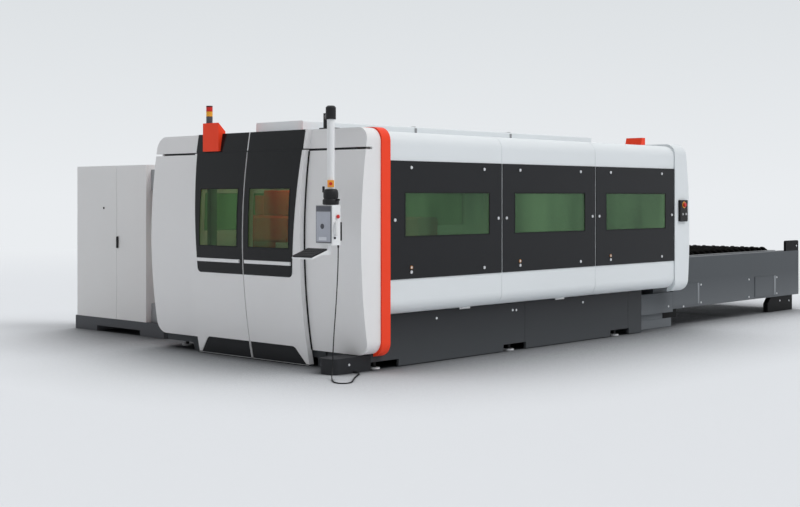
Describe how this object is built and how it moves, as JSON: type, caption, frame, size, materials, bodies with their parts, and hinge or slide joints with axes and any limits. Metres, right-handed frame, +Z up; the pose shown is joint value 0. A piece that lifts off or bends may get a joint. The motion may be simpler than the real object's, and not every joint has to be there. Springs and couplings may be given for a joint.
{
  "type": "laser cutting machine",
  "caption": "Enclosed flat-bed laser cutting machine with bulged sliding front doors, dark window band, hanging terminal, control cabinet and a shuttle table with stacked pallets.",
  "frame": {"origin": "centre of the footprint on the floor, cable left out", "axes": "+X from the front doors to the shuttle table, +Y towards the control cabinet, +Z up"},
  "size_m": [9.8166, 5.7976, 2.53],
  "materials": {
    "light_paint": "satin",
    "white_paint": "satin",
    "band_paint": "matte",
    "accent_paint": "satin",
    "black_gloss": "gloss",
    "tinted_glass": "clear",
    "base_paint": "matte",
    "black_plastic": "matte",
    "steel": "brushed",
    "screen_face": "gloss",
    "stop_red": "gloss",
    "lens": "gloss",
    "cable_rubber": "matte"
  },
  "bodies": {
    "machine": {"front_side_panels": "light_paint", "front_hood": "light_paint", "cabinet_body": "light_paint", "cabin_side_panels": "white_paint", "rear_hoop": "white_paint", "rear_wall": "white_paint", "roof_panels": "white_paint", "roof_duct_covers": "white_paint", "arm_tube": "white_paint", "band_panels": "band_paint", "accent_hoop": "accent_paint", "beacon_housings": "accent_paint", "hood_fascia": "black_gloss", "cabin_windows": "tinted_glass", "base_frame": "base_paint", "side_skirts": "base_paint", "corner_foot": "base_paint", "table_frame": "base_paint", "table_covers": "base_paint", "cabinet_plinth": "base_paint", "front_frame": "base_paint", "wireway": "base_paint", "table_feet_and_posts": "black_plastic", "roof_arm": "black_plastic", "rear_control_box": "black_plastic", "levelling_feet": "black_plastic", "band_fasteners": "steel", "guide_rails": "steel", "cabinet_modules": "steel", "signal_tower": "lens", "terminal_cable": "cable_rubber"},
    "left_door": {"left_door_leaf": "light_paint", "left_door_dark_panels": "black_gloss", "left_door_window": "tinted_glass", "left_door_pull_bar": "light_paint"},
    "right_door": {"right_door_leaf": "light_paint", "right_door_dark_panels": "black_gloss", "right_door_window": "tinted_glass", "right_door_pull_bar": "light_paint"},
    "terminal": {"terminal_coupling": "black_plastic", "terminal_housing": "white_paint", "terminal_screen": "screen_face", "keyboard_tray": "white_paint", "keyboard": "black_plastic", "terminal_gland": "cable_rubber"},
    "terminal_stop": {"terminal_stop_button": "stop_red"},
    "terminal_key": {"key_switch": "black_plastic"},
    "rear_stop": {"rear_stop_button": "stop_red"},
    "rear_push_left": {"rear_button_left": "black_plastic"},
    "rear_push_right": {"rear_button_right": "black_plastic"},
    "bridge": {"bridge_beam": "accent_paint"},
    "carriage": {"cutting_carriage": "base_paint"},
    "head": {"cutting_head": "steel"},
    "outer_pallet": {"outer_pallet_frame": "steel", "outer_pallet_slats": "steel"},
    "inner_pallet": {"inner_pallet_frame": "steel", "inner_pallet_slats": "steel"},
    "cabinet_near_door": {"cabinet_door_near": "light_paint"},
    "cabinet_far_door": {"cabinet_door_far": "light_paint"},
    "cabinet_lever": {"cabinet_handle": "black_plastic"}
  },
  "joints": [
    {"name": "left_door_slide", "type": "slide", "parent": "machine", "child": "left_door", "axis": [0, 1, 0], "range_m": [0, 0.43]},
    {"name": "right_door_slide", "type": "slide", "parent": "machine", "child": "right_door", "axis": [0, -1, 0], "range_m": [0, 0.43]},
    {"name": "terminal_swivel", "type": "hinge", "parent": "machine", "child": "terminal", "pos_m": [-4.53474, -2.6115, 1.671], "axis": [0, 0, 1], "range_deg": [-60, 60], "deforming": ["terminal_cable"]},
    {"name": "terminal_stop_press", "type": "slide", "parent": "terminal", "child": "terminal_stop", "axis": [0, 1, 0], "range_m": [0, 0.006], "stiffness_N_per_m": 900},
    {"name": "terminal_key_turn", "type": "hinge", "parent": "terminal", "child": "terminal_key", "pos_m": [-4.58674, -2.7125, 1.238], "axis": [0, 1, 0], "range_deg": [0, 90]},
    {"name": "rear_stop_press", "type": "slide", "parent": "machine", "child": "rear_stop", "axis": [0, 1, 0], "range_m": [0, 0.006], "stiffness_N_per_m": 900},
    {"name": "rear_left_press", "type": "slide", "parent": "machine", "child": "rear_push_left", "axis": [0, 1, 0], "range_m": [0, 0.004], "stiffness_N_per_m": 600},
    {"name": "rear_right_press", "type": "slide", "parent": "machine", "child": "rear_push_right", "axis": [0, 1, 0], "range_m": [0, 0.004], "stiffness_N_per_m": 600},
    {"name": "bridge_travel", "type": "slide", "parent": "machine", "child": "bridge", "axis": [1, 0, 0], "range_m": [0, 3]},
    {"name": "carriage_travel", "type": "slide", "parent": "bridge", "child": "carriage", "axis": [0, 1, 0], "range_m": [-0.76, 0.76]},
    {"name": "head_lift", "type": "slide", "parent": "carriage", "child": "head", "axis": [0, 0, 1], "range_m": [-0.1, 0]},
    {"name": "outer_pallet_slide", "type": "slide", "parent": "machine", "child": "outer_pallet", "axis": [-1, 0, 0], "range_m": [0, 4.05]},
    {"name": "inner_pallet_slide", "type": "slide", "parent": "machine", "child": "inner_pallet", "axis": [1, 0, 0], "range_m": [0, 4.05]},
    {"name": "cabinet_near_hinge", "type": "hinge", "parent": "machine", "child": "cabinet_near_door", "pos_m": [-3.68674, 1.3225, 1.065], "axis": [0, 0, 1], "range_deg": [0, 110]},
    {"name": "cabinet_far_hinge", "type": "hinge", "parent": "machine", "child": "cabinet_far_door", "pos_m": [-3.68674, 2.7245, 1.065], "axis": [0, 0, -1], "range_deg": [0, 110]},
    {"name": "cabinet_lever_turn", "type": "hinge", "parent": "cabinet_near_door", "child": "cabinet_lever", "pos_m": [-3.69674, 1.8735, 1.123], "axis": [-1, 0, 0], "range_deg": [0, 90]}
  ],
  "couplings": [
    {"joint": "inner_pallet_slide", "follows": "outer_pallet_slide", "ratio": 1}
  ]
}
